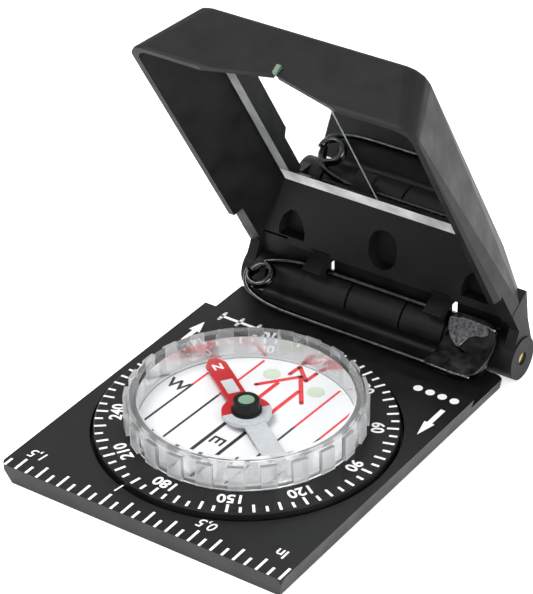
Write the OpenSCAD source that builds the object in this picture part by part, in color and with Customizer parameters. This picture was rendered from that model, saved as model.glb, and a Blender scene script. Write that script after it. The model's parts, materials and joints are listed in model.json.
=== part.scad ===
// Folding sighting compass: base plate with an inch ruler, turning dial with a
// clear capsule, mirrored lid on a rear hinge, and a safety pin along the hinge.
// Millimetres, +Z up. Origin: on the underside's plane, midway between the ruler
// edge and the back of the hinge. The hinge is towards +Y.

/* [Base] */
// Width of the base plate across the top face
base_w = 40.8; // [40.4:0.1:42]
// Length of the base plate
base_l = 50.8; // [50.8:0.1:52]
// Thickness of the base plate
base_t = 3.2; // [3:0.1:3.6]
// Height of the sunk shelf in front of the hinge
shelf_z = 1.8; // [1.6:0.1:1.9]

/* [Dial] */
// Outer radius of the dial ring
dial_r = 18.75; // [18:0.05:18.8]
// Height of the top face of the dial ring
dial_top = 4.05; // [3.9:0.05:4.3]
// Height of the top of the clear capsule
capsule_top = 8.2; // [8.1:0.1:8.8]
// Number of grip teeth round the capsule
tooth_count = 24; // [16:1:32]

/* [Needle] */
// Heading of the needle, degrees anticlockwise from the hinge direction
needle_heading = 55; // [0:5:355]
// Length of the needle from the pivot to each end
needle_half = 12.4; // [10:0.1:12.8]

/* [Lid] */
// How far the lid stands open
lid_open = 59; // [0:1:140]
// Height of the lid from its rim to its outer face
lid_h = 9.2; // [9.2:0.1:10]

/* [Safety pin] */
// Slope of the safety pin below level, degrees
pin_slope = 32.2; // [30:0.1:33]
// Radius of the safety pin wire
wire_r = 0.42; // [0.35:0.01:0.43]

/* [Hidden] */
$fn = 96;
e = 0.01;
half_w = base_w / 2;
mid_y = -3.05;
front_y = mid_y - base_l / 2;
rear_y = mid_y + base_l / 2;
side_taper = 0.9;
taper_angle = atan(side_taper / base_t);
shelf_y = mid_y + 17.1;

hinge_y = rear_y + 3.2;
hinge_z = 3.0;
barrel_r = 2.9;
barrel_half = 16.6;
knuckle_in = 17.0;
knuckle_out = 20.7;
bore_r = 0.9;

dial_y = mid_y - 2.8;
pocket_r = dial_r + 0.45;
pocket_floor = 1.5;
hub_r = 11.4;
hub_hole_r = 11.6;
clip_seat_r = 13.8;
clip_seat_z = 0.85;
ring_low = 1.75;
seat_r = 14.05;
seat_z = 2.6;

card_low = 3.9;
card_top = 4.15;
card_r = 13.35;
capsule_wall_in = 13.4;
capsule_ceiling = capsule_top - 0.8;
wall_r = 14.5;
dial_turn = -2.7;

blade_low = 4.95;
blade_top = 5.3;
needle_w = 2.7;

rim_z = base_t + 0.1;
lid_front = mid_y - 23.4;
lid_half_rim = 19.9;
lid_half_top = 16.15;
lid_len = 42.2;
swing_r = 5.95;
rib_r = swing_r - 0.1;
arm_in = 19.05;
arm_out = 20.5;
hook_x = 9.2;
hook_w = 2.7;
hook_in = 4.85;
hook_out = 5.65;

wire_y = hinge_y - 1.01;
wire_z = hinge_z + 3.67;
arm_gap = 7.3;
coil_x = -16.5;
coil_u = arm_gap / 2;
coil_r = 1.65;
turn_low = 0.1;
turn_high = 1.0;
bend_x = -12.6;
wire_end = 16.2;
arm_end = 14.6;
arm_swing_u = coil_u + coil_r;

// A cylinder lying along X, from x0 to x1.
module rod(x0, x1, r) {
  translate([x0, 0, 0])
    rotate([0, 90, 0])
      cylinder(h = x1 - x0, r = r);
}

// A flat ring.
module annulus(outer, inner, low, high) {
  difference() {
    translate([0, 0, low])
      cylinder(h = high - low, r = outer);
    translate([0, 0, low - e])
      cylinder(h = high - low + 2 * e, r = inner);
  }
}

// Moves its children to the hinge axis.
module at_hinge() {
  translate([0, hinge_y, hinge_z])
    children();
}

// Swings the lid parts, drawn closed, to the open angle.
module opened() {
  at_hinge()
    rotate([-lid_open, 0, 0])
      translate([0, -hinge_y, -hinge_z])
        children();
}

// The lid frame: X across, Y from the front rim, Z up from the rim plane.
module lid_frame() {
  opened()
    translate([0, lid_front, rim_z])
      children();
}

// The safety pin frame: X along the wire, Y from the fixed arm to the free
// arm (stored backwards), Z out of the plane of the pin.
module pin_frame() {
  translate([0, wire_y, wire_z])
    rotate([pin_slope, 0, 0])
      children();
}

// Plan of a plate with small front corners and larger rear corners.
module plate_outline(front_r, rear_r) {
  difference() {
    translate([-half_w, front_y])
      square([base_w, base_l]);
    for (s = [-1, 1]) {
      corner_cut(s * half_w, front_y, -s, 1, front_r);
      corner_cut(s * half_w, rear_y, -s, -1, rear_r);
    }
  }
}

// The waste outside a rounded corner; sx and sy point into the plate.
module corner_cut(x, y, sx, sy, r) {
  difference() {
    translate([x + (sx > 0 ? -1 : -r), y + (sy > 0 ? -1 : -r)])
      square([r + 1, r + 1]);
    translate([x + sx * r, y + sy * r])
      circle(r = r);
  }
}

// The tapered sides and front, as waste to cut away.
module taper_waste() {
  for (s = [-1, 1])
    translate([s * half_w, 0, base_t])
      rotate([0, s * taper_angle, 0])
        translate([s > 0 ? 0 : -4, -40, -8])
          cube([4, 80, 8]);
  translate([0, front_y, base_t])
    rotate([taper_angle, 0, 0])
      translate([-40, -4, -8])
        cube([80, 4, 8]);
}

// The fixed half of the hinge, with the rib that stands behind the wire.
module barrel() {
  at_hinge() {
    difference() {
      union() {
        rod(-barrel_half, barrel_half, barrel_r);
        intersection() {
          rod(-10.7, 10.4, barrel_r + 0.4);
          translate([-12, -4, 0.4])
            cube([24, 4, 4]);
        }
      }
      for (s = [-1, 1])
        seam(s * 4.1);
    }
    intersection() {
      difference() {
        rod(-18.9, 18.9, rib_r);
        for (s = [-1, 1])
          rod(s > 0 ? barrel_half + 0.1 : -20, s > 0 ? 20 : -barrel_half - 0.1,
            barrel_r + 0.1);
      }
      union() {
        translate([-18.9, -0.1, 0])
          cube([8.2, 1, 6]);
        translate([-7.7, -0.1, 0])
          cube([15.4, 1, 6]);
        translate([10.7, 0.5, 0])
          cube([8.2, 0.9, 6]);
      }
    }
    for (s = [-1, 1])
      wire_saddle(s * hook_x);
  }
  translate([-barrel_half, rear_y - 2, 0.1])
    cube([2 * barrel_half, 5.2, shelf_z - 0.1]);
  translate([-barrel_half, rear_y + 0.2, shelf_z - 1])
    cube([2 * barrel_half, 2, 1.75]);
  translate([0, rear_y + 0.2, 1.55])
    rod(-barrel_half, barrel_half, 1);
}

// A shallow groove round the front of the barrel.
module seam(x) {
  intersection() {
    difference() {
      rod(x - 0.15, x + 0.15, barrel_r + 1);
      rod(x - 1, x + 1, barrel_r - 0.15);
    }
    translate([x - 1, -5, -0.2])
      cube([2, 5, 6]);
  }
}

// A small loop on the barrel that holds the wire of the safety pin.
module wire_saddle(x) {
  intersection() {
    rod(x - 1.1, x + 1.1, 4.62);
    translate([x - 2, -1.95, 0])
      cube([4, 1.9, 6]);
  }
}

module base_plate() color([0.07, 0.07, 0.07]) {
  difference() {
    union() {
      difference() {
        linear_extrude(base_t)
          plate_outline(1, 1.8);
        taper_waste();
        translate([-30, shelf_y, shelf_z])
          cube([60, 40, 10]);
      }
      barrel();
    }
    translate([0, dial_y, pocket_floor])
      cylinder(h = 10, r = pocket_r);
    translate([0, dial_y, -1])
      cylinder(h = 10, r = hub_hole_r);
    translate([0, dial_y, -1])
      cylinder(h = 1 + clip_seat_z, r = clip_seat_r);
    at_hinge()
      rod(-30, 30, bore_r);
    translate([0, wire_y, wire_z])
      rod(-12, 12, wire_r + 0.05);
  }
}

module friction_washer() color([0.8, 0.8, 0.78]) {
  translate([0, dial_y, 0])
    annulus(17.5, 12.2, pocket_floor, ring_low - 0.05);
}

module dial_ring() color([0.06, 0.06, 0.06]) {
  translate([0, dial_y, 0])
    rotate_extrude()
      polygon([[seat_r, seat_z], [hub_r - 1.2, seat_z], [hub_r - 1.2, 0.15],
        [hub_r, 0.15], [hub_r, ring_low], [dial_r, ring_low],
        [dial_r, dial_top - 0.25], [dial_r - 0.25, dial_top],
        [seat_r, dial_top]]);
}

module retaining_ring() color([0.09, 0.09, 0.09]) {
  translate([0, dial_y, 0])
    annulus(13.6, hub_r + 0.01, 0.2, 0.8);
}

module capsule_base() color([0.93, 0.93, 0.93]) {
  translate([0, dial_y, 0])
    difference() {
      union() {
        translate([0, 0, seat_z + 0.4])
          cylinder(h = card_low - seat_z - 0.4, r = capsule_wall_in - 0.02);
        translate([0, 0, seat_z - 0.4])
          cylinder(h = 1, r = 2.2);
      }
      translate([0, 0, seat_z])
        cylinder(h = 4, r = 0.51);
      translate([0, -8.5, seat_z])
        cylinder(h = 4, r = 1.02);
    }
}

// One clear shell: thin skirt in the dial, toothed wall above it, flat top.
module capsule_body() color([0.9, 0.93, 0.95, 0.35]) {
  translate([0, dial_y, 0]) {
    rotate_extrude()
      polygon([[capsule_wall_in, seat_z], [seat_r - 0.03, seat_z],
        [seat_r - 0.03, dial_top + 0.02], [wall_r, dial_top + 0.02],
        [wall_r, capsule_top - 0.3], [wall_r - 0.3, capsule_top],
        [0, capsule_top], [0, capsule_ceiling],
        [capsule_wall_in, capsule_ceiling]]);
    for (i = [0 : tooth_count - 1])
      rotate(i * 360 / tooth_count)
        translate([wall_r - 0.5, -1, dial_top + 0.4])
          cube([1, 2, capsule_top - dial_top - 0.9]);
  }
}

module fill_plug() color([0.85, 0.85, 0.85]) {
  translate([0, dial_y - 8.5, seat_z + 0.4])
    cylinder(h = card_low - seat_z - 0.4, r = 1);
}

module floor_card() color([0.95, 0.95, 0.95]) {
  translate([0, dial_y, 0])
    rotate(dial_turn)
      difference() {
        translate([0, 0, card_low])
          cylinder(h = card_top - card_low, r = card_r);
        translate([0, 0, card_low - 1])
          cylinder(h = 2, r = 0.55);
        for (s = [-1, 1])
          translate([s * 3.4, 9.6, card_top - 0.15])
            cylinder(h = 1, r = 1.12);
      }
}

module card_glow_spots() color([0.83, 0.9, 0.78]) {
  translate([0, dial_y, 0])
    rotate(dial_turn)
      for (s = [-1, 1])
        translate([s * 3.4, 9.6, card_top - 0.15])
          cylinder(h = 0.2, r = 1.1);
}

module pivot_pin() color([0.7, 0.7, 0.72]) {
  translate([0, dial_y, 0]) {
    translate([0, 0, seat_z])
      cylinder(h = 2.6, r = 0.5);
    translate([0, 0, seat_z + 2.6])
      cylinder(h = 0.85, r1 = 0.5, r2 = 0.06);
  }
}

// Turns the needle parts to the needle's heading about the pivot.
module on_pivot() {
  translate([0, dial_y, 0])
    rotate(needle_heading)
      children();
}

module jewel_bearing() color([0.75, 0.1, 0.2]) {
  on_pivot()
    difference() {
      translate([0, 0, 5.75])
        cylinder(h = 0.8, r = 0.7);
      translate([0, 0, 5.75 - e])
        cylinder(h = 0.4, r1 = 0.5, r2 = 0.1);
    }
}

// Flat needle: pointed north end, blunt south end, round boss in the middle.
module needle_blade() color([0.8, 0.1, 0.1]) {
  on_pivot()
    difference() {
      union() {
        translate([0, 0, blade_low])
          linear_extrude(blade_top - blade_low)
            polygon([[-needle_w / 2, 1.1 - needle_half],
              [1.1 - needle_w / 2, -needle_half],
              [needle_w / 2 - 1.1, -needle_half],
              [needle_w / 2, 1.1 - needle_half],
              [needle_w / 2, needle_half - 1.3], [0.5, needle_half],
              [-0.5, needle_half], [-needle_w / 2, needle_half - 1.3]]);
        translate([0, 0, blade_low])
          cylinder(h = 0.5, r = 3.1);
      }
      translate([0, 0, blade_low - 1])
        cylinder(h = 3, r = 0.72);
      translate([-0.8, 4.3, blade_top - 0.15])
        cube([1.6, 3.0, 1]);
    }
}

module needle_magnet() color([0.15, 0.15, 0.16]) {
  on_pivot()
    difference() {
      translate([-1.2, -6, blade_low - 0.5])
        cube([2.4, 12, 0.5]);
      translate([0, 0, blade_low - 1])
        cylinder(h = 3, r = 0.72);
    }
}

module needle_cap() color([0.1, 0.1, 0.1]) {
  on_pivot()
    difference() {
      union() {
        translate([0, 0, blade_low + 0.5])
          cylinder(h = 0.25, r = 1.9);
        translate([0, 0, blade_low + 0.7])
          cylinder(h = 1.45, r1 = 1.7, r2 = 1.6);
      }
      translate([0, 0, blade_low - 1])
        cylinder(h = 2.6, r = 0.72);
      translate([0, 0, blade_low + 1.95])
        cylinder(h = 1, r = 1.02);
    }
}

module cap_glow_spot() color([0.75, 0.87, 0.75]) {
  on_pivot()
    translate([0, 0, blade_low + 1.95])
      cylinder(h = 0.15, r = 1);
}

module needle_glow_bar() color([0.9, 0.93, 0.96]) {
  on_pivot()
    translate([-0.78, 4.32, blade_top - 0.15])
      cube([1.56, 2.96, 0.18]);
}

// The outside of the lid: wide rim, narrower top, sloping rear.
module lid_outside() {
  hull() {
    for (s = [-1, 1]) {
      translate([s * (lid_half_rim - 2.6), 2.6, 0])
        cylinder(h = 0.4, r = 2.6, $fn = 40);
      translate([s * (lid_half_rim - 0.5), 40, 0])
        cylinder(h = 0.4, r = 0.5, $fn = 24);
      for (a = [0 : 30 : 90])
        translate([s * (lid_half_top - 2.7 + 1.8 * sin(a)), 4.8 - 1.8 * cos(a),
          lid_h - 1.2])
          sphere(r = 1.2, $fn = 32);
      translate([s * (lid_half_top - 0.9), lid_len - 1, lid_h - 1.2])
        sphere(r = 1.2, $fn = 32);
      translate([s * (arm_out - 0.4), 48.1, 1.0])
        cylinder(h = 2.6, r = 0.4, $fn = 24);
    }
  }
}

// The hollow of the lid, down to the back of the mirror.
module lid_hollow() {
  hull() {
    for (s = [-1, 1]) {
      translate([s * (lid_half_rim - 3.0), 2.9, -1])
        cylinder(h = 1.2, r = 2.08, $fn = 40);
      translate([s * (lid_half_rim - 1.4), 48, -1])
        cylinder(h = 1.1, r = 0.5, $fn = 24);
      translate([s * 14.95, 2.9, 8.18])
        cylinder(h = 0.04, r = 0.3, $fn = 24);
      translate([s * 14.95, 38.3, 7.1])
        cylinder(h = 1.12, r = 0.3, $fn = 24);
    }
  }
}

// A hook that reaches from the rear edge of the lid over the wire.
module lid_hook(x) {
  difference() {
    union() {
      hook_sector(x, hook_out, 7);
      hook_sector(x, swing_r + 0.5, -20);
    }
    rod(x - 5, x + 5, hook_in);
  }
}

// A slice of a hook, from 50 degrees past upright forward to the turn angle.
module hook_sector(x, r, turn) {
  intersection() {
    rod(x - hook_w / 2, x + hook_w / 2, r);
    rotate([50, 0, 0])
      translate([x - 5, -9, 0])
        cube([10, 9, 9]);
    rotate([turn, 0, 0])
      translate([x - 5, -9, 0])
        cube([10, 9, 9]);
  }
}

// Side profile of an arm, drawn with the hinge axis at the origin.
module arm_profile() {
  circle(r = barrel_r);
  polygon([[0, -2.0], [-2.6, -1.0], [-4.2, 1.6], [-8, 1.6], [-8, 5.6],
    [-3.9, 3.9], [0.6, 2.8]]);
}

// The three blind recesses in the sloped panel behind the mirror.
module panel_recesses() {
  translate([0, 38.6, 7.1])
    rotate([-35.2, 0, 0])
      translate([0, 0, -0.5]) {
        for (run = [5.2, 6.5])
          translate([0, run, 0])
            cylinder(h = 2.7, r = 2.1);
        translate([-2.1, 5.2, 0])
          cube([4.2, 1.3, 2.7]);
        for (s = [-1, 1])
          translate([s * 13.9, 0, 0])
            linear_extrude(2.7)
              polygon([[-1.95, 8.35], [1.95, 8.35], [2.05, 7.2], [1.5, 5.6],
                [0.5, 4.5], [-0.5, 4.5], [-1.5, 5.6], [-2.05, 7.2]]);
      }
}

module lid_shell() color([0.12, 0.12, 0.12]) {
  difference() {
    union() {
      lid_frame()
        difference() {
          lid_outside();
          lid_hollow();
          translate([-30, 38.9, -1])
            cube([60, 20, 2.3]);
          panel_recesses();
          rotate([90, 0, 0])
            translate([0, 0, -4])
              linear_extrude(5)
                polygon([[-9.3, -1], [-9.3, 0], [-0.35, 2], [-0.35, 3.4],
                  [0.35, 3.4], [0.35, 2], [9.3, 0], [9.3, -1]]);
        }
      at_hinge()
        for (s = [-1, 1]) {
          rotate([-lid_open, 0, 0])
            translate([s > 0 ? arm_in : -arm_out, 0, 0])
              rotate([90, 0, 90])
                linear_extrude(arm_out - arm_in)
                  arm_profile();
        }
    }
    at_hinge()
      rod(-arm_in, arm_in, swing_r);
    at_hinge()
      rod(-30, 30, bore_r);
    at_hinge()
      rotate([-lid_open, 0, 0])
        translate([0, -hinge_y, -hinge_z])
          pin_frame()
            translate([coil_x, -coil_u, -1])
              cylinder(h = 3, r = coil_r + wire_r + 0.35);
  }
  difference() {
    at_hinge()
      for (s = [-1, 1])
        rod(s > 0 ? knuckle_in : -knuckle_out,
          s > 0 ? knuckle_out : -knuckle_in, barrel_r);
    at_hinge()
      rod(-30, 30, bore_r);
  }
  at_hinge()
    rotate([-lid_open, 0, 0])
      for (s = [-1, 1])
        lid_hook(s * hook_x);
}

module mirror_plate() color([0.85, 0.87, 0.9]) {
  lid_frame()
    translate([-15.1, 2.75, 7.1])
      cube([30.2, 35.7, 1.0]);
}

module mirror_tape() color([0.6, 0.6, 0.6]) {
  lid_frame()
    translate([-14, 4, 8.1])
      cube([28, 33.2, 0.12]);
}

module sight_glow_dot() color([0.75, 0.87, 0.75]) {
  lid_frame()
    translate([-0.34, 0.75, 2.3])
      cube([0.68, 0.5, 1.09]);
}

module hinge_pin() color([0.75, 0.6, 0.3]) {
  at_hinge()
    rod(-20.4, 20.4, bore_r - 0.02);
}

// A straight piece of wire between two points, with a ball at its start.
module wire_piece(a, b) {
  run = b - a;
  translate(a) {
    sphere(r = wire_r + 0.03, $fn = 48);
    rotate([0, acos(run[2] / norm(run)), atan2(run[1], run[0])])
      cylinder(h = norm(run), r = wire_r, $fn = 48);
  }
}

// One turn of the coil, at the given height above the plane of the pin.
module coil_turn(height) {
  translate([coil_x, -coil_u, height])
    rotate_extrude()
      translate([coil_r, 0])
        circle(r = wire_r, $fn = 48);
}

module pin_wire() color([0.2, 0.2, 0.22]) {
  pin_frame() {
    coil_turn(turn_low);
    wire_piece([coil_x, -coil_u + coil_r, turn_low], [bend_x, 0, 0]);
    wire_piece([bend_x, 0, 0], [wire_end, 0, 0]);
  }
}

module pin_arm() color([0.2, 0.2, 0.22]) {
  pin_frame() {
    coil_turn(turn_high);
    wire_piece([coil_x + 0.3, -arm_swing_u, turn_high], [bend_x, -arm_gap, 0]);
    wire_piece([bend_x, -arm_gap, 0], [arm_end - 2, -arm_gap, 0]);
    translate([arm_end - 2.01, -arm_gap, 0])
      rotate([0, 90, 0])
        cylinder(h = 2, r1 = wire_r - 0.01, r2 = 0.12, $fn = 48);
  }
}

// Plan of the clasp; grow is 0 for the outside, negative for the hollow.
module clasp_plan(grow) {
  translate([10.9 + 4 * grow, -6.4])
    square([5.8 - 4 * grow, 7.35 + grow]);
  translate([16.7, -0.85])
    circle(r = 1.8 + grow);
  translate([16.7, -6.15])
    circle(r = 1.8 + grow);
  translate([15.2, -6.15])
    square([3.3 + grow, 5.3]);
  translate([8.7 + 4 * grow, -7.95 - grow])
    square([8 - 4 * grow, 1.85 - grow]);
}

module pin_clasp() color([0.25, 0.25, 0.27]) {
  pin_frame()
    difference() {
      translate([0, 0, -0.66])
        linear_extrude(1.32)
          clasp_plan(0);
      translate([0, 0, -0.46])
        linear_extrude(0.92)
          clasp_plan(-0.2);
    }
}

base_plate();
friction_washer();
dial_ring();
retaining_ring();
capsule_base();
capsule_body();
fill_plug();
floor_card();
card_glow_spots();
pivot_pin();
jewel_bearing();
needle_blade();
needle_magnet();
needle_cap();
cap_glow_spot();
needle_glow_bar();
lid_shell();
mirror_plate();
mirror_tape();
sight_glow_dot();
hinge_pin();
pin_wire();
pin_arm();
pin_clasp();
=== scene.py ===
"""Looks for the folding sighting compass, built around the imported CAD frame."""
import json
import math

import bmesh
import bpy
from mathutils import Matrix, Vector


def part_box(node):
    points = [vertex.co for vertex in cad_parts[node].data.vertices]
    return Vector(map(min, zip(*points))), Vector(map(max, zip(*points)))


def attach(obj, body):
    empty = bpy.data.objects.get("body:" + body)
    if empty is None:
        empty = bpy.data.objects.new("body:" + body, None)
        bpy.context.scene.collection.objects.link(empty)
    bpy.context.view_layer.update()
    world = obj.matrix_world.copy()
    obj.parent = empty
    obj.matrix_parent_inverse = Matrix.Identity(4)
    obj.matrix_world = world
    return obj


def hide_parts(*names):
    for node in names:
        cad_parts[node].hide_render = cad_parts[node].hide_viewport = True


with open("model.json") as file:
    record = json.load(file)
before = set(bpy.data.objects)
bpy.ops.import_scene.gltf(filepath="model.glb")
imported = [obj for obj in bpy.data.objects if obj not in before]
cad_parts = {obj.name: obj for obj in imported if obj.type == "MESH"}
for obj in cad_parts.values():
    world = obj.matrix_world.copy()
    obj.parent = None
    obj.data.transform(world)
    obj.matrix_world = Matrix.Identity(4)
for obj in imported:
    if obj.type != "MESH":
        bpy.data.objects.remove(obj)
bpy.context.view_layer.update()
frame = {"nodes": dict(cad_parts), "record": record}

MM = 0.001  # one millimetre in the frame's unit; the sizes below are in millimetres
INCH = 25.4
PAINT = 0.02  # thickness of a printed mark

scene = bpy.context.scene
scene.view_settings.view_transform = "Standard"
scene.view_settings.look = "None"


# ---------------------------------------------------------------- materials
def new_material(name):
    mat = bpy.data.materials.new(name)
    mat.use_nodes = True
    nodes = mat.node_tree.nodes
    return mat, nodes, mat.node_tree.links, nodes["Principled BSDF"]


def add_noise(nodes, links, scale, detail=3.0, rough=0.55):
    """Noise in the object's own coordinates, in cycles per metre."""
    coord = nodes.new("ShaderNodeTexCoord")
    noise = nodes.new("ShaderNodeTexNoise")
    noise.inputs["Scale"].default_value = scale
    noise.inputs["Detail"].default_value = detail
    noise.inputs["Roughness"].default_value = rough
    links.new(coord.outputs["Object"], noise.inputs["Vector"])
    return noise


def ramp_between(nodes, links, source, low, high, start=0.3, stop=0.7):
    """A colour ramp from low to high, driven by source."""
    ramp = nodes.new("ShaderNodeValToRGB")
    ramp.color_ramp.elements[0].position = start
    ramp.color_ramp.elements[1].position = stop
    ramp.color_ramp.elements[0].color = (*low, 1)
    ramp.color_ramp.elements[1].color = (*high, 1)
    links.new(source, ramp.inputs["Fac"])
    return ramp.outputs["Color"]


def map_range(nodes, links, source, low, high, start=0.3, stop=0.7):
    """A number from low to high, driven by source."""
    node = nodes.new("ShaderNodeMapRange")
    node.inputs["From Min"].default_value = start
    node.inputs["From Max"].default_value = stop
    node.inputs["To Min"].default_value = low
    node.inputs["To Max"].default_value = high
    links.new(source, node.inputs["Value"])
    return node.outputs["Result"]


def add_bump(nodes, links, shader, height, strength, distance):
    """Bumps the shader's normal, and returns the bumped normal."""
    bump = nodes.new("ShaderNodeBump")
    bump.inputs["Strength"].default_value = strength
    bump.inputs["Distance"].default_value = distance
    links.new(height, bump.inputs["Height"])
    links.new(bump.outputs["Normal"], shader.inputs["Normal"])
    return bump.outputs["Normal"]


def maths(nodes, links, operation, source, *values):
    """A Math node: source is its first input, and numbers or sockets the others."""
    node = nodes.new("ShaderNodeMath")
    node.operation = operation
    links.new(source, node.inputs[0])
    for i, value in enumerate(values, 1):
        if isinstance(value, bpy.types.NodeSocket):
            links.new(value, node.inputs[i])
        else:
            node.inputs[i].default_value = value
    return node.outputs["Value"]


def mix_shaders(nodes, links, share, first, second):
    """Two shaders mixed; share is the second one's part."""
    node = nodes.new("ShaderNodeMixShader")
    links.new(share, node.inputs["Fac"])
    links.new(first, node.inputs[1])
    links.new(second, node.inputs[2])
    return node.outputs["Shader"]


def moulded_plastic(name, dark, light, rough=(0.42, 0.55), grain=9000, bump=0.25,
                    specular=0.5):
    """Moulded plastic: slow mottling, fine grain, and a slightly uneven gloss."""
    mat, nodes, links, shader = new_material(name)
    slow = add_noise(nodes, links, 260, 4)
    links.new(ramp_between(nodes, links, slow.outputs["Fac"], dark, light),
              shader.inputs["Base Color"])
    fine = add_noise(nodes, links, grain, 2, 0.6)
    links.new(map_range(nodes, links, slow.outputs["Fac"], *rough),
              shader.inputs["Roughness"])
    add_bump(nodes, links, shader, fine.outputs["Fac"], bump, 0.00002)
    shader.inputs["Specular IOR Level"].default_value = specular
    return mat


def print_ink(name, low, high, rough=0.5):
    """Screen-printed ink with thin, uneven cover."""
    mat, nodes, links, shader = new_material(name)
    noise = add_noise(nodes, links, 3500, 3)
    links.new(ramp_between(nodes, links, noise.outputs["Fac"], low, high),
              shader.inputs["Base Color"])
    shader.inputs["Roughness"].default_value = rough
    add_bump(nodes, links, shader, noise.outputs["Fac"], 0.15, 0.00001)
    return mat


def polished_metal(name, dark, light, rough=(0.12, 0.25), scale=1500, bump=0.1):
    """Bare metal with patches that are duller and darker than the rest."""
    mat, nodes, links, shader = new_material(name)
    noise = add_noise(nodes, links, scale, 4)
    links.new(ramp_between(nodes, links, noise.outputs["Fac"], dark, light),
              shader.inputs["Base Color"])
    links.new(map_range(nodes, links, noise.outputs["Fac"], *rough),
              shader.inputs["Roughness"])
    shader.inputs["Metallic"].default_value = 1.0
    add_bump(nodes, links, shader, noise.outputs["Fac"], bump, 0.00002)
    return mat


black = moulded_plastic("black_plastic_base", (0.004, 0.0045, 0.004),
                        (0.009, 0.0095, 0.009), (0.38, 0.52), specular=0.22)
dial_black = moulded_plastic("black_plastic_dial", (0.004, 0.004, 0.004),
                             (0.009, 0.009, 0.0092), (0.35, 0.5), specular=0.22)
lid_black = moulded_plastic("black_plastic_lid", (0.005, 0.0055, 0.005),
                            (0.01, 0.0105, 0.01), (0.42, 0.56), grain=7000, bump=0.35,
                            specular=0.17)
white_ink = print_ink("white_ink", (0.8, 0.81, 0.82), (0.93, 0.93, 0.93))
black_ink = print_ink("black_ink", (0.012, 0.01, 0.01), (0.03, 0.024, 0.024))
red_ink = print_ink("red_ink", (0.68, 0.022, 0.03), (0.8, 0.035, 0.04))
card_white = moulded_plastic("card_white", (0.78, 0.78, 0.8), (0.83, 0.83, 0.85),
                             (0.5, 0.6), grain=4000, bump=0.05)
bar_white = moulded_plastic("glow_bar", (0.5, 0.53, 0.54), (0.6, 0.63, 0.64),
                            (0.4, 0.5), grain=4000, bump=0.05)
washer_grey = moulded_plastic("washer_plastic", (0.6, 0.6, 0.58), (0.7, 0.7, 0.68))
glow_green = moulded_plastic("glow_paint", (0.56, 0.64, 0.5), (0.66, 0.73, 0.6),
                             (0.5, 0.6), grain=5000, bump=0.1)
cap_green = moulded_plastic("cap_glow", (0.16, 0.29, 0.18), (0.22, 0.37, 0.25),
                            (0.4, 0.5), grain=5000, bump=0.1)
# green paint for the sighting notch, darkened to the shade inside the notch: partly painted
# shade
notch_green_shaded = moulded_plastic("notch_glow_shaded", (0.045, 0.085, 0.055), (0.08, 0.14, 0.09),
                              (0.3, 0.4), grain=5000, bump=0.1)
wire_dark = polished_metal("wire_dark", (0.03, 0.03, 0.032), (0.08, 0.08, 0.084),
                           (0.14, 0.26))
clasp_dark = polished_metal("clasp_dark", (0.012, 0.012, 0.013), (0.05, 0.05, 0.052),
                            (0.14, 0.28), scale=500, bump=0.12)
# painted highlight: lighter metal laid where light catches the clasp's upper lobe, front
# rim and fold; its noise bumps stand for scratches
clasp_highlight_and_wear = polished_metal("clasp_highlight_and_wear", (0.05, 0.05, 0.052), (0.24, 0.24, 0.246),
                            (0.22, 0.4), scale=2200, bump=0.3)
steel = polished_metal("pivot_steel", (0.5, 0.5, 0.51), (0.65, 0.65, 0.66))
brass = polished_metal("brass", (0.6, 0.43, 0.18), (0.78, 0.6, 0.3), (0.2, 0.4))
dark_magnet = polished_metal("dark_magnet", (0.05, 0.05, 0.055), (0.09, 0.09, 0.1),
                             (0.3, 0.5))


def clear_stone(name, tint, ior):
    """A hard, clear, tinted stone."""
    mat, nodes, links, shader = new_material(name)
    shader.inputs["Base Color"].default_value = (*tint, 1)
    shader.inputs["Transmission Weight"].default_value = 1.0
    shader.inputs["IOR"].default_value = ior
    shader.inputs["Roughness"].default_value = 0.02
    noise = add_noise(nodes, links, 300, 2)
    add_bump(nodes, links, shader, noise.outputs["Fac"], 0.06, 0.0001)
    return mat


def axis_coordinates(nodes, links, centre):
    """Distance from the upright axis through centre, and height, in metres."""
    coord = nodes.new("ShaderNodeTexCoord")
    offset = nodes.new("ShaderNodeVectorMath")
    offset.operation = "SUBTRACT"
    offset.inputs[1].default_value = (centre.x * MM, centre.y * MM, 0)
    links.new(coord.outputs["Object"], offset.inputs[0])
    flatten = nodes.new("ShaderNodeVectorMath")
    flatten.operation = "MULTIPLY"
    flatten.inputs[1].default_value = (1, 1, 0)
    links.new(offset.outputs["Vector"], flatten.inputs[0])
    radius = nodes.new("ShaderNodeVectorMath")
    radius.operation = "LENGTH"
    links.new(flatten.outputs["Vector"], radius.inputs[0])
    split = nodes.new("ShaderNodeSeparateXYZ")
    links.new(coord.outputs["Object"], split.inputs["Vector"])
    return radius.outputs["Value"], split.outputs["Z"]


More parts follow.
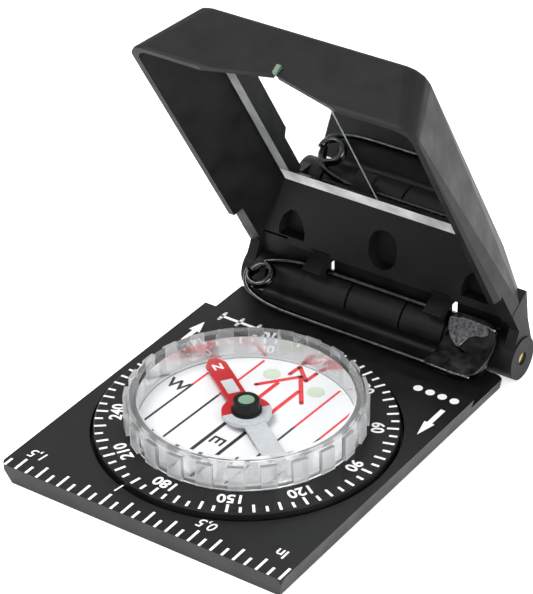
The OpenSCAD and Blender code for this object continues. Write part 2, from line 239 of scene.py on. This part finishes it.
def capsule_plastic(centre, clear_radius, ceiling):
    """Clear shell over a liquid: the flat top lets light straight through with
    a faint gloss, the thick wall outside clear_radius bends it, its inner face
    throws back part of it, as a wall that is seen through liquid does, and the
    teeth get a share of white translucent shading, a painted reflection of the
    light that clear teeth throw back."""
    mat, nodes, links, shader = new_material("clear_capsule")
    radius, height = axis_coordinates(nodes, links, centre)

    through = nodes.new("ShaderNodeBsdfTransparent")
    through.inputs["Color"].default_value = (0.985, 0.99, 0.99, 1)
    gloss = nodes.new("ShaderNodeBsdfGlossy")
    gloss.inputs["Roughness"].default_value = 0.04
    facing = nodes.new("ShaderNodeLayerWeight")
    facing.inputs["Blend"].default_value = 0.5
    grazing = maths(nodes, links, "POWER", facing.outputs["Facing"], 5)
    sheen = maths(nodes, links, "MULTIPLY_ADD", grazing, 0.4, 0.006)
    top = mix_shaders(nodes, links, sheen, through.outputs["BSDF"], gloss.outputs["BSDF"])

    shader.inputs["Base Color"].default_value = (0.9, 0.905, 0.91, 1)
    shader.inputs["Transmission Weight"].default_value = 0.9
    shader.inputs["IOR"].default_value = 1.45
    shader.inputs["Roughness"].default_value = 0.06
    noise = add_noise(nodes, links, 700, 3)
    normal = add_bump(nodes, links, shader, noise.outputs["Fac"], 0.5, 0.0001)

    inner_skin = (clear_radius + 0.25) * MM
    below = maths(nodes, links, "LESS_THAN", height, (ceiling - 0.02) * MM)
    near = maths(nodes, links, "LESS_THAN", radius, inner_skin)
    inner = maths(nodes, links, "MULTIPLY", below, near)
    mirrored = maths(nodes, links, "MULTIPLY", inner, 0.5)
    throw = nodes.new("ShaderNodeBsdfGlossy")
    throw.inputs["Roughness"].default_value = 0.22
    throw.inputs["Color"].default_value = (0.95, 0.955, 0.96, 1)
    links.new(normal, throw.inputs["Normal"])
    wall = mix_shaders(nodes, links, mirrored, shader.outputs["BSDF"],
                       throw.outputs["BSDF"])

    # painted reflection: a white translucent share on the teeth stands for the light that
    # clear teeth throw back
    teeth_from = (clear_radius + 1.25) * MM
    tooth = maths(nodes, links, "GREATER_THAN", radius, teeth_from)
    tooth_glare_share = maths(nodes, links, "MULTIPLY", tooth, 0.4)
    painted_tooth_glare = nodes.new("ShaderNodeBsdfTranslucent")
    painted_tooth_glare.inputs["Color"].default_value = (0.85, 0.86, 0.87, 1)
    toothed = mix_shaders(nodes, links, tooth_glare_share, wall, painted_tooth_glare.outputs["BSDF"])

    outside = maths(nodes, links, "GREATER_THAN", radius, clear_radius * MM)
    surface = mix_shaders(nodes, links, outside, top, toothed)
    links.new(surface, nodes["Material Output"].inputs["Surface"])
    return mat


jewel = clear_stone("jewel", (0.8, 0.1, 0.2), 1.76)


# ---------------------------------------------------------------- mesh helpers
def link(obj, mat, body):
    """Adds obj to the scene with its material and body."""
    scene.collection.objects.link(obj)
    obj.data.materials.append(mat)
    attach(obj, body)
    return obj


def mesh_piece(name, verts, faces, mat, body, smooth=False):
    """A mesh from points in millimetres."""
    mesh = bpy.data.meshes.new(name)
    mesh.from_pydata([Vector(v) * MM for v in verts], [], faces)
    mesh.validate()
    bm = bmesh.new()
    bm.from_mesh(mesh)
    bmesh.ops.recalc_face_normals(bm, faces=bm.faces)
    bm.to_mesh(mesh)
    bm.free()
    for poly in mesh.polygons:
        poly.use_smooth = smooth
    return link(bpy.data.objects.new(name, mesh), mat, body)


def rectangle(x0, x1, y0, y1):
    """Corners of a rectangle."""
    return [(x0, y0), (x1, y0), (x1, y1), (x0, y1)]


DIGIT_SHARE = 0.73  # a digit's height in the built-in font, of the font size


class Print:
    """Flat marks collected into one thin mesh, placed by a matrix in mm."""

    def __init__(self, matrix):
        self.matrix = matrix
        self.verts = []
        self.faces = []

    def polygon(self, points):
        """A filled outline."""
        base = len(self.verts)
        n = len(points)
        for z in (0, PAINT):
            for p in points:
                self.verts.append(self.matrix @ Vector((p[0], p[1], z)))
        self.faces.append([base + i for i in reversed(range(n))])
        self.faces.append([base + n + i for i in range(n)])
        for i in range(n):
            j = (i + 1) % n
            self.faces.append([base + i, base + j, base + n + j, base + n + i])

    def bar(self, a, b, width):
        """A straight stroke from a to b."""
        a, b = Vector(a), Vector(b)
        side = (b - a).normalized().orthogonal() * width / 2
        self.polygon([a - side, b - side, b + side, a + side])

    def disc(self, centre, radius, sides=24):
        """A filled circle."""
        self.polygon([(centre[0] + radius * math.cos(2 * math.pi * i / sides),
                       centre[1] + radius * math.sin(2 * math.pi * i / sides))
                      for i in range(sides)])

    def stroke(self, points, width):
        """A line of round-ended strokes through points."""
        for a, b in zip(points, points[1:]):
            self.bar(a, b, width)
        for p in points:
            self.disc(p, width / 2)

    def text(self, words, centre, height, right=(1, 0), up=(0, 1), slant=0.0,
             weight=0.0):
        """Characters in the built-in font; height is a digit's height."""
        curve = bpy.data.curves.new("label", "FONT")
        curve.body = words
        curve.align_x = "CENTER"
        curve.align_y = "CENTER"
        curve.size = height / DIGIT_SHARE
        curve.shear = slant
        curve.offset = weight
        curve.resolution_u = 4
        obj = bpy.data.objects.new("label", curve)
        scene.collection.objects.link(obj)
        graph = bpy.context.evaluated_depsgraph_get()
        mesh = bpy.data.meshes.new_from_object(obj.evaluated_get(graph))
        lo = [min(v.co[k] for v in mesh.vertices) for k in (0, 1)]
        hi = [max(v.co[k] for v in mesh.vertices) for k in (0, 1)]
        mid = Vector(((lo[0] + hi[0]) / 2, (lo[1] + hi[1]) / 2, 0))
        bm = bmesh.new()
        bm.from_mesh(mesh)
        bmesh.ops.remove_doubles(bm, verts=bm.verts, dist=1e-5)
        made = bmesh.ops.extrude_face_region(bm, geom=bm.faces[:])
        bmesh.ops.translate(bm, vec=(0, 0, PAINT),
                            verts=[g for g in made["geom"]
                                   if isinstance(g, bmesh.types.BMVert)])
        bm.verts.index_update()
        base = len(self.verts)
        right, up, centre = Vector(right), Vector(up), Vector(centre)
        for v in bm.verts:
            p = v.co - mid
            flat = centre + right * p.x + up * p.y
            self.verts.append(self.matrix @ Vector((flat.x, flat.y, v.co.z)))
        for f in bm.faces:
            self.faces.append([base + v.index for v in f.verts])
        bm.free()
        bpy.data.objects.remove(obj)
        bpy.data.curves.remove(curve)
        bpy.data.meshes.remove(mesh)

    def make(self, name, mat, body):
        """Turns the collected marks into a piece."""
        return mesh_piece(name, self.verts, self.faces, mat, body)


SIDES = 20  # corners round a wire
POINT_SHARE = 0.15  # thickness of a wire's point, of the wire's own


def swept_faces(rings):
    """Faces of a closed tube of that many rings with SIDES corners each."""
    faces = []
    for i in range(rings - 1):
        for k in range(SIDES):
            m = (k + 1) % SIDES
            faces.append([i * SIDES + k, i * SIDES + m, (i + 1) * SIDES + m,
                          (i + 1) * SIDES + k])
    faces.append(list(range(SIDES)))
    faces.append([(rings - 1) * SIDES + k for k in reversed(range(SIDES))])
    return faces


def tube(name, points, radius, mat, body, matrix, taper=0.0):
    """A round wire along points (mm, in the matrix's frame), with closed ends.
    The last taper millimetres run to a point."""
    path = [Vector(p) for p in points]
    tangents = []
    for i in range(len(path)):
        ahead = path[min(i + 1, len(path) - 1)]
        behind = path[max(i - 1, 0)]
        tangents.append((ahead - behind).normalized())
    left = [0.0]
    for a, b in zip(reversed(path[:-1]), reversed(path[1:])):
        left.append(left[-1] + (b - a).length)
    left.reverse()
    normal = tangents[0].orthogonal().normalized()
    verts = []
    for i, (p, t) in enumerate(zip(path, tangents)):
        normal = (normal - t * normal.dot(t)).normalized()
        side = t.cross(normal)
        r = radius
        if taper and left[i] < taper:
            r = radius * max(POINT_SHARE, left[i] / taper)
        for k in range(SIDES):
            a = 2 * math.pi * k / SIDES
            verts.append(matrix @ (p + normal * math.cos(a) * r + side * math.sin(a) * r))
    return mesh_piece(name, verts, swept_faces(len(path)), mat, body, smooth=True)


def smooth_path(points, steps=10):
    """A Catmull-Rom curve through points."""
    pts = [Vector(p) for p in points]
    pts = [pts[0] * 2 - pts[1]] + pts + [pts[-1] * 2 - pts[-2]]
    out = []
    for i in range(1, len(pts) - 2):
        a, b, c, d = pts[i - 1:i + 3]
        for k in range(steps):
            t = k / steps
            out.append(0.5 * ((2 * b) + (c - a) * t + (2 * a - 5 * b + 4 * c - d) * t * t
                              + (3 * b - a - 3 * c + d) * t ** 3))
    out.append(pts[-2])
    return out


def bevel_edges(obj, width, segments, angle):
    """Rounds the edges that turn by more than angle degrees; width is in mm."""
    bevel = obj.modifiers.new("edges", "BEVEL")
    bevel.width = width * MM
    bevel.segments = segments
    bevel.limit_method = "ANGLE"
    bevel.angle_limit = math.radians(angle)


def sheet_piece(name, outline, low_n, high_n, matrix, mat, body, round_by):
    """A flat sheet with a smooth outline and rounded edges."""
    line = smooth_path([(*p, 0) for p in outline] + [(*outline[0], 0)], 4)[:-1]
    n = len(line)
    verts = [matrix @ Vector((p.x, p.y, z)) for z in (low_n, high_n) for p in line]
    faces = [list(reversed(range(n))), [n + i for i in range(n)]]
    faces += [[i, (i + 1) % n, n + (i + 1) % n, n + i] for i in range(n)]
    obj = mesh_piece(name, verts, faces, mat, body)
    bevel_edges(obj, round_by, 3, 40)
    return obj


def soften(node, mat, width, segments=2):
    """Gives a CAD node its material and rounds its edges by width millimetres."""
    obj = frame["nodes"][node]
    for i in range(len(obj.data.materials)):
        obj.data.materials[i] = mat
    if not obj.data.materials:
        obj.data.materials.append(mat)
    if width:
        bevel_edges(obj, width, segments, 32)


# ---------------------------------------------------------------- sizes, mm
def low(node):
    """A node's lowest corner at rest."""
    return Vector(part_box(node)[0]) / MM


def high(node):
    """A node's highest corner at rest."""
    return Vector(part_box(node)[1]) / MM


BASE_L = 2 * INCH
BASE_TOP = 3.2
FRONT = low("base_plate").y
MID_Y = FRONT + BASE_L / 2  # middle of the base plate
DIAL = (low("dial_ring") + high("dial_ring")) / 2
DIAL.z = 0
DIAL_TOP = high("dial_ring").z
CARD_TOP = high("floor_card").z
BLADE_TOP = 5.3  # top of the needle's arms; its boss is higher
CAPSULE_TOP = 0.8  # thickness of the capsule's clear top
CEILING = high("capsule_body").z - CAPSULE_TOP

joints = {j["name"]: j for j in frame["record"]["behaviour"]["joints"]}
HINGE = Vector(joints["lid_hinge"]["pos_m"]) / MM
OPEN = math.radians(59)  # the lid's angle at rest
RIM = Vector((0, 2.0, 3.3))  # front rim of the shut lid, from the base's front edge


def lid_matrix():
    """From the shut lid's frame (X across, Y from the front rim, Z up from the
    rim's plane) to the row frame at rest, in mm."""
    closed = Matrix.Translation((0, FRONT + RIM.y, RIM.z))
    turn = (Matrix.Translation(HINGE) @ Matrix.Rotation(-OPEN, 4, "X")
            @ Matrix.Translation(-HINGE))
    return turn @ closed


LID = lid_matrix()

# ---------------------------------------------------------------- base plate
soften("base_plate", black, 0.15)
base_face = Matrix.Translation((0, MID_Y, BASE_TOP))
EDGE = -BASE_L / 2  # the front edge, from the middle of the base plate

RULER_ZERO = 20.0
RULER_TICKS = 26
TICK_LONG = 2.35
TICK_SHORT = 1.5
TICK_W = 0.34
NUMBER_H = 1.55
NUMBER_Y = EDGE + 3.8
TURNED = {"right": (-1, 0), "up": (0, -1)}  # read from the rear
ruler = Print(base_face)
for i in range(RULER_TICKS):
    x = RULER_ZERO - i * INCH / 16
    length = TICK_SHORT if i % 2 else TICK_LONG
    ruler.bar((x, EDGE + 0.05), (x, EDGE + length), TICK_W)
ruler.text("In", (17.6, NUMBER_Y + 0.25), NUMBER_H, weight=0.02, **TURNED)
for number, x in (("0,5", 7.45), ("1", -5.4), ("1,5", -17.6)):
    ruler.text(number, (x, NUMBER_Y), NUMBER_H, slant=0.15, **TURNED)
ruler.make("ruler_print", white_ink, "base")

# An arrow to the front on the right, under a row of dots, and an arrow to the
# rear on the left, under a bar with three ticks.
MARK_Y = 15.5
marks = Print(base_face)
marks.polygon([(18.0, 13.1), (18.0, 9.9), (17.6, 9.9), (18.32, 7.0), (19.05, 9.9),
               (18.66, 9.9), (18.66, 13.1)])
marks.polygon([(-17.95, 8.2), (-17.3, 8.2), (-17.3, 10.8), (-16.85, 10.8),
               (-17.75, 13.2), (-18.5, 10.8), (-17.95, 10.8)])
for i in range(4):
    marks.disc((18.5 - i * 1.75, MARK_Y), 0.6)
BAR_LEFT, BAR_MIDDLE, BAR_RIGHT = -16.6, -13.9, -11.2
BAR_Y = MARK_Y + 0.1
marks.stroke([(BAR_LEFT, BAR_Y), (BAR_RIGHT, BAR_Y)], 0.45)
for x in (BAR_LEFT, BAR_MIDDLE, BAR_RIGHT):
    marks.stroke([(x, BAR_Y - 0.8), (x, BAR_Y + 0.8)], 0.45)
marks.make("base_print", white_ink, "base")

# ---------------------------------------------------------------- dial
soften("dial_ring", dial_black, 0.08)
soften("retaining_ring", dial_black, 0.08)
soften("friction_washer", washer_grey, 0)
DIAL_TURN = math.radians(-2.7)
DEGREE_OUT_R = 18.6  # outer ends of the degree marks
DEGREE_LONG = 1.45
DEGREE_SHORT = 1.0
DEGREE_NUMBER_R = 16.05
dial_frame = (Matrix.Translation((DIAL.x, DIAL.y, 0))
              @ Matrix.Rotation(DIAL_TURN, 4, "Z"))
ring_print = Print(dial_frame @ Matrix.Translation((0, 0, DIAL_TOP)))


def compass_point(degrees, radius):
    """A point on the dial, by its bearing."""
    a = math.radians(degrees)
    return Vector((radius * math.sin(a), radius * math.cos(a)))


for degrees in range(0, 360, 5):
    length = DEGREE_SHORT if degrees % 10 else DEGREE_LONG
    ring_print.bar(compass_point(degrees, DEGREE_OUT_R - length),
                   compass_point(degrees, DEGREE_OUT_R), 0.33)
for degrees in range(0, 360, 30):
    up = compass_point(degrees, 1)
    right = Vector((up.y, -up.x))
    ring_print.text(str(degrees), compass_point(degrees, DEGREE_NUMBER_R), 1.62,
                    right=right, up=up, weight=0.05)
ring_print.make("dial_print", white_ink, "dial")

soften("capsule_base", card_white, 0)
soften("fill_plug", card_white, 0)
soften("floor_card", card_white, 0)
soften("card_glow_spots", glow_green, 0.03)
soften("pivot_pin", steel, 0)
CLEAR_R = 13.35  # just inside the inner face of the capsule's wall
soften("capsule_body", capsule_plastic(DIAL, CLEAR_R, CEILING), 0.12, 3)

# ---------------------------------------------------------------- card print
card_frame = dial_frame @ Matrix.Translation((0, 0, CARD_TOP))
north_lines = Print(card_frame)
south_lines = Print(card_frame)
PRINT_R = 12.9
MERIDIAN_W = 0.32


def chord(x):
    """Half the length of the card's chord at x."""
    return math.sqrt(PRINT_R * PRINT_R - x * x)


SPLIT = 2.0  # the prints are red north of this line and black south of it
for x in (-10.0, -5.95, 5.7, 9.6):
    south_lines.bar((x, -chord(x)), (x, SPLIT), MERIDIAN_W)
    north_lines.bar((x, SPLIT), (x, chord(x)), MERIDIAN_W)
for x in (-1.6, 1.6):  # the shaft of the north arrow
    south_lines.bar((x, -chord(x)), (x, SPLIT), 0.5)
    north_lines.bar((x, SPLIT), (x, 8.6), 0.56)
for x in (-3.6, 3.4):  # its head
    north_lines.stroke([(x, 6.6), (-0.1, 11.2)], 0.6)
# the letters N, W and E
north_lines.stroke([(-1.55, 10.9), (-1.45, 12.9), (1.0, 10.8), (1.1, 12.9)], 0.58)
south_lines.text("W", (-11.5, 0.9), 2.0, weight=0.06)
south_lines.stroke([(-0.84, -6.3), (-0.84, -5.1), (0.68, -5.1), (0.68, -6.3)], 0.32)
south_lines.stroke([(-0.08, -5.1), (-0.08, -6.1)], 0.32)
south_lines.make("card_print_dark", black_ink, "dial")
north_lines.make("card_print_red", red_ink, "dial")

# ---------------------------------------------------------------- needle
HEADING = math.radians(55)
needle_frame = (Matrix.Translation((DIAL.x, DIAL.y, 0))
                @ Matrix.Rotation(HEADING, 4, "Z"))


def needle_paint():
    """Red north half and white south half, split across the pivot."""
    mat, nodes, links, shader = new_material("needle_paint")
    coord = nodes.new("ShaderNodeTexCoord")
    split = nodes.new("ShaderNodeVectorMath")
    split.operation = "DOT_PRODUCT"
    north = needle_frame.to_3x3() @ Vector((0, 1, 0))
    split.inputs[1].default_value = north
    links.new(coord.outputs["Object"], split.inputs[0])
    at_north = maths(nodes, links, "GREATER_THAN", split.outputs["Value"],
                     north.dot(DIAL) * MM)
    noise = add_noise(nodes, links, 2000, 2)
    red = ramp_between(nodes, links, noise.outputs["Fac"], (0.42, 0.008, 0.012),
                       (0.52, 0.014, 0.018))
    white = ramp_between(nodes, links, noise.outputs["Fac"], (0.46, 0.48, 0.5),
                         (0.54, 0.56, 0.58))
    mix = nodes.new("ShaderNodeMix")
    mix.data_type = "RGBA"
    links.new(at_north, mix.inputs["Factor"])
    links.new(white, mix.inputs["A"])
    links.new(red, mix.inputs["B"])
    links.new(mix.outputs["Result"], shader.inputs["Base Color"])
    shader.inputs["Roughness"].default_value = 0.35
    return mat


soften("needle_blade", needle_paint(), 0.05)
soften("needle_magnet", dark_magnet, 0.05)
soften("needle_cap", black, 0.12)
soften("cap_glow_spot", cap_green, 0.03)
soften("needle_glow_bar", bar_white, 0.03)
soften("jewel_bearing", jewel, 0)
letter = Print(needle_frame @ Matrix.Translation((0, 0, BLADE_TOP)))
letter.text("N", (0, 10.4), 1.3, weight=0.04)
letter.make("needle_letter", white_ink, "needle")

# ---------------------------------------------------------------- lid
soften("lid_shell", lid_black, 0.15)
soften("mirror_tape", washer_grey, 0)
soften("sight_glow_dot", notch_green_shaded, 0)
NOTCH_HALF = 0.33
NOTCH_FRONT, NOTCH_REAR = 0.12, 0.74
NOTCH_LOW, NOTCH_HIGH = 2.1, 3.36
# the notch is filled with the darkened green paint: partly painted shade
notch = [LID @ Vector((x, y, z)) for z in (NOTCH_LOW, NOTCH_HIGH)
         for x, y in rectangle(-NOTCH_HALF, NOTCH_HALF, NOTCH_FRONT, NOTCH_REAR)]
notch_paint = mesh_piece("sight_notch_paint", notch,
                         [[3, 2, 1, 0], [4, 5, 6, 7], [0, 1, 5, 4], [1, 2, 6, 5],
                          [2, 3, 7, 6], [3, 0, 4, 7]], notch_green_shaded, "lid")
bevel_edges(notch_paint, 0.06, 2, 30)
soften("hinge_pin", brass, 0.1)


def mirror_glass():
    """A bright mirror with a very faint unevenness."""
    mat, nodes, links, shader = new_material("mirror_face")
    noise = add_noise(nodes, links, 60, 2)
    links.new(ramp_between(nodes, links, noise.outputs["Fac"], (0.83, 0.85, 0.86),
                           (0.87, 0.88, 0.89)), shader.inputs["Base Color"])
    shader.inputs["Metallic"].default_value = 1.0
    shader.inputs["Roughness"].default_value = 0.02
    return mat


soften("mirror_plate", mirror_glass(), 0)

frosted = moulded_plastic("frosted_edge", (0.45, 0.46, 0.46), (0.92, 0.93, 0.93),
                          (0.4, 0.7), grain=2500, bump=0.5)
grey_edge = moulded_plastic("grey_edge", (0.14, 0.145, 0.145), (0.3, 0.31, 0.31),
                            (0.4, 0.7), grain=3000, bump=0.4)
MIRROR = 7.1  # height of the mirror's face in the shut lid
MIRROR_HALF = 14.9
STRIP_IN = 13.45  # inner edge of the side strips
STRIP_FRONT, STRIP_REAR = 2.9, 35.98
FROST_FRONT, FROST_REAR = 36.0, 38.4
LINE_HALF = 0.11  # half the width of the sighting line
mirror_face = LID @ Matrix.Translation((0, 0, MIRROR - PAINT))
hinge_strip = Print(mirror_face)
hinge_strip.polygon(rectangle(-MIRROR_HALF, MIRROR_HALF, FROST_FRONT, FROST_REAR))
hinge_strip.make("mirror_frosted_edge", frosted, "lid")
side_strip = Print(mirror_face)
for x0, x1 in ((-MIRROR_HALF, -STRIP_IN), (STRIP_IN, MIRROR_HALF), (-LINE_HALF, LINE_HALF)):
    side_strip.polygon(rectangle(x0, x1, STRIP_FRONT, STRIP_REAR))
side_strip.make("mirror_side_edges", grey_edge, "lid")

# ---------------------------------------------------------------- safety pin
PIN = Vector(joints["pin_swing"]["pos_m"]) / MM
OUT = Vector(joints["pin_squeeze"]["axis"]).normalized()  # out of the pin's plane
ACROSS = Vector((1, 0, 0))
AWAY = ACROSS.cross(OUT)  # from the fixed arm to the free arm
pin_frame = Matrix.Translation(PIN) @ Matrix((ACROSS, AWAY, OUT)).transposed().to_4x4()
WIRE = 0.42  # the wire's radius
COIL = Vector((-16.5, 3.65))
COIL_R = 1.65
BACK_LOW, BACK_HIGH = -0.66, -0.46  # the clasp's back sheet
FRONT_LOW, FRONT_HIGH = 0.42, 0.6  # and its front sheet
LOBE_LOW, LOBE_HIGH = 0.56, 0.68
BAND_HALF_T = 0.2
BAND_HALF_H = 0.62


def coil(start, stop, low_n, high_n, steps=48):
    """Points round the coil from one angle to another, in degrees."""
    out = []
    for i in range(steps + 1):
        t = i / steps
        a = math.radians(start + (stop - start) * t)
        out.append(Vector((COIL.x + COIL_R * math.cos(a), COIL.y + COIL_R * math.sin(a),
                           low_n + (high_n - low_n) * t)))
    return out


fixed = coil(90, -200, 0.35, 0.1) + smooth_path(
    [(-16.95, 1.5, 0.06), (-15.6, 0.85, 0.02), (-13.9, 0.35, 0), (-12.0, 0.05, 0),
     (-10.5, 0, 0), (10.4, 0, 0), (11.4, 0.12, 0), (12.8, 0.6, 0), (14.2, 1.0, 0),
     (15.8, 1.1, 0)])
wire = tube("pin_fixed_wire", fixed, WIRE, wire_dark, "pin", pin_frame)
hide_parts("pin_wire")
free = coil(-90, 180, 0.62, 1.0) + smooth_path(
    [(-18.1, 4.4, 0.95), (-17.6, 5.5, 0.8), (-16.4, 6.45, 0.55), (-14.2, 7.05, 0.25),
     (-11.5, 7.27, 0.05), (-8.5, 7.3, 0), (0, 7.3, 0), (14.4, 7.3, 0)])
arm = tube("pin_free_wire", free, WIRE, wire_dark, "free_arm", pin_frame,
           taper=2.6)
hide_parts("pin_arm")

clasp_pieces = [
    sheet_piece("clasp_back", [(11.2, 0.2), (11.0, 2.5), (10.9, 5.0), (10.7, 7.2),
                               (13.0, 7.75), (16.4, 7.6), (18.0, 6.4), (18.4, 4.0),
                               (18.2, 1.6), (17.0, 0.1), (14.0, -0.35)],
                BACK_LOW, BACK_HIGH, pin_frame, clasp_dark, "pin", 0.08),
    sheet_piece("clasp_front", [(11.0, 0.3), (11.3, 1.6), (12.1, 2.8), (13.1, 3.6),
                                (14.3, 4.1), (15.3, 4.45), (14.2, 4.75), (12.8, 5.0),
                                (11.7, 5.6), (10.95, 6.4), (10.6, 7.3), (12.2, 7.7),
                                (14.2, 7.75), (16.6, 7.5), (17.9, 6.5), (18.4, 4.8),
                                (18.42, 3.0), (18.15, 1.4), (17.3, 0.3), (16.0, -0.2),
                                (14.0, -0.35), (12.3, -0.2)],
                FRONT_LOW, FRONT_HIGH, pin_frame, clasp_dark, "pin", 0.08),
    # the upper lobe: a lighter sheet laid over the front sheet, a painted highlight
    sheet_piece("clasp_lobe_highlight", [(11.0, 0.5), (11.35, 1.7), (12.1, 2.8), (13.0, 3.6),
                               (13.9, 4.05), (14.3, 3.4), (14.6, 2.6), (15.3, 2.0),
                               (16.5, 1.7), (16.9, 1.0), (16.0, 0.3), (14.0, 0.0),
                               (12.2, 0.1)],
                LOBE_LOW, LOBE_HIGH, pin_frame, clasp_highlight_and_wear, "pin", 0.05),
    # bright tubes along the front rim and the fold: painted highlight lines
    tube("clasp_front_rim", [Vector((x, 7.55 - 0.012 * (x - 14) ** 2, FRONT_LOW))
                             for x in (10.8, 12.0, 13.5, 15.0, 16.4, 17.3)], 0.2,
         clasp_highlight_and_wear, "pin", pin_frame),
    tube("clasp_fold", [Vector((x, 0.15 + 0.02 * (x - 14) ** 2, 0.5))
                        for x in (11.6, 12.8, 14.0, 15.4, 16.8, 17.6)], 0.22,
         clasp_highlight_and_wear, "pin", pin_frame),
]
band = smooth_path([(11.6, -0.3, 0), (14.0, -0.45, 0), (16.2, -0.3, 0), (17.5, 0.45, 0),
                    (18.25, 2.0, 0), (18.3, 4.2, 0), (18.1, 5.8, 0), (17.4, 7.0, 0),
                    (16.0, 7.6, 0), (14.2, 7.8, 0)], 8)
band_verts = []
for i, p in enumerate(band):
    run = (band[min(i + 1, len(band) - 1)] - band[max(i - 1, 0)]).normalized()
    side = Vector((-run.y, run.x, 0))
    for k in range(SIDES):
        a = 2 * math.pi * k / SIDES
        out = side * BAND_HALF_T * math.cos(a) + Vector((0, 0, BAND_HALF_H * math.sin(a)))
        band_verts.append(pin_frame @ (p + out))
clasp_pieces.append(mesh_piece("clasp_band", band_verts, swept_faces(len(band)), clasp_dark,
                               "pin", smooth=True))
for piece in clasp_pieces:
    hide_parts("pin_clasp")

# ---------------------------------------------------------------- stage
FLOOR_HALF = 3  # metres
floor_mesh = bpy.data.meshes.new("floor")
floor_mesh.from_pydata([(x * FLOOR_HALF, y * FLOOR_HALF, 0)
                        for x, y in rectangle(-1, 1, -1, 1)], [], [(0, 1, 2, 3)])
floor = bpy.data.objects.new("floor", floor_mesh)
scene.collection.objects.link(floor)
floor_mat, _, _, floor_shader = new_material("floor")
floor_shader.inputs["Base Color"].default_value = (0.9, 0.9, 0.9, 1)
floor_shader.inputs["Roughness"].default_value = 0.8
floor_shader.inputs["Emission Color"].default_value = (1, 1, 1, 1)
floor_shader.inputs["Emission Strength"].default_value = 0.55
floor.data.materials.append(floor_mat)

world = bpy.data.worlds.new("studio")
scene.world = world
world.use_nodes = True
world.node_tree.nodes["Background"].inputs["Color"].default_value = (1, 1, 1, 1)
world.node_tree.nodes["Background"].inputs["Strength"].default_value = 0.85


def area_light(name, at, aim, size, power):
    """A square light at one point that faces another, in mm; power is in watts."""
    data = bpy.data.lights.new(name, "AREA")
    data.shape = "SQUARE"
    data.size = size * MM
    data.energy = power
    obj = bpy.data.objects.new(name, data)
    scene.collection.objects.link(obj)
    obj.location = Vector(at) * MM
    direction = Vector(aim) * MM - obj.location
    obj.rotation_euler = direction.to_track_quat("-Z", "Y").to_euler()


area_light("key", (-120, -120, 420), (0, 0, 10), 260, 1.5)
area_light("side", (420, -160, 110), (0, 0, 20), 260, 1.8)

# ---------------------------------------------------------------- camera
CAMERA = Vector((151.7, MID_Y - 216.3, 189.4))
AZ = math.radians(34.82)
EL = math.radians(32.62)
ROLL = math.radians(-0.87)
back = Vector((math.sin(AZ) * math.cos(EL), -math.cos(AZ) * math.cos(EL), math.sin(EL)))
across = Vector((math.cos(AZ), math.sin(AZ), 0))
upward = back.cross(across)
right_axis = across * math.cos(ROLL) + upward * math.sin(ROLL)
up_axis = -across * math.sin(ROLL) + upward * math.cos(ROLL)
camera_data = bpy.data.cameras.new("camera")
camera_data.sensor_fit = "HORIZONTAL"
camera_data.sensor_width = 36
camera_data.lens = 177.5
camera_data.clip_start = 0.01
camera = bpy.data.objects.new("camera", camera_data)
scene.collection.objects.link(camera)
turn = Matrix((right_axis, up_axis, back)).transposed().to_4x4()
camera.matrix_world = Matrix.Translation(CAMERA * MM) @ turn
scene.camera = camera
